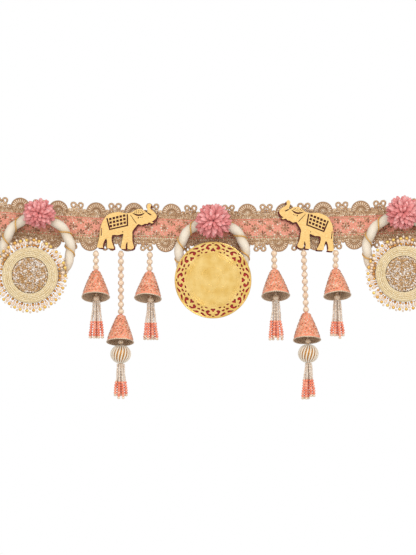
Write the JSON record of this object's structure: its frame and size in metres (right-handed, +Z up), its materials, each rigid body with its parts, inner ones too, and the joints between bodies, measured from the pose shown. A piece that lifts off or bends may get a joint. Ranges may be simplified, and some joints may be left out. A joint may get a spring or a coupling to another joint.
{
  "type": "toran door hanging",
  "caption": "Brocade lace band that hangs along the top of a doorway, with padded rings, discs, elephants and bead strings that end in cloth cones and tassels.",
  "frame": {"origin": "on the band's top edge, in its middle, where the hanging is fastened", "axes": "+X along the band to the viewer's right, +Y towards the wall, +Z up"},
  "size_m": [0.48, 0.0284, 0.2022],
  "materials": {
    "brocade_lace": "metallic and pink brocade weave",
    "petal_satin": "soft satin",
    "cream_cloth": "matt woven",
    "gold_cord": "metallic twisted cord",
    "gold_sheet": "polished gold",
    "red_board": "dark red paint",
    "gold_bead": "gold bead",
    "cream_bead": "cream bead",
    "clear_bead": "clear and gold bead",
    "pearl": "pearly",
    "coral_bead": "white and coral seed bead",
    "cone_brocade": "coral brocade"
  },
  "bodies": {
    "root": {"band_lace": "brocade_lace", "flower_left": "petal_satin", "ring_left": "cream_cloth", "ring_cord_left": "gold_cord", "flower_centre": "petal_satin", "ring_centre": "cream_cloth", "ring_cord_centre": "gold_cord", "flower_right": "petal_satin", "ring_right": "cream_cloth", "ring_cord_right": "gold_cord", "disc_backing": "red_board", "disc_plate": "gold_sheet", "pearl_base_left": "gold_bead", "pearl_coil_left": "cream_bead", "pearl_centre_left": "clear_bead", "elephant_back_left": "red_board", "elephant_plate_left": "gold_sheet", "pearl_base_right": "gold_bead", "pearl_coil_right": "cream_bead", "pearl_centre_right": "clear_bead", "elephant_back_right": "red_board", "elephant_plate_right": "gold_sheet", "string_1": "pearl", "cone_1": "cone_brocade", "tassel_1": "coral_bead", "string_2": "pearl", "cone_2": "cone_brocade", "tassel_2": "coral_bead", "string_3": "pearl", "cone_3": "cone_brocade", "tassel_3": "coral_bead", "string_4": "pearl", "cone_4": "cone_brocade", "tassel_4": "coral_bead", "string_5": "pearl", "cone_5": "cone_brocade", "tassel_5": "coral_bead", "string_6": "pearl", "cone_6": "cone_brocade", "tassel_6": "coral_bead", "ball_2": "cream_cloth", "link_2": "pearl", "ball_5": "cream_cloth", "link_5": "pearl"}
  },
  "joints": []
}
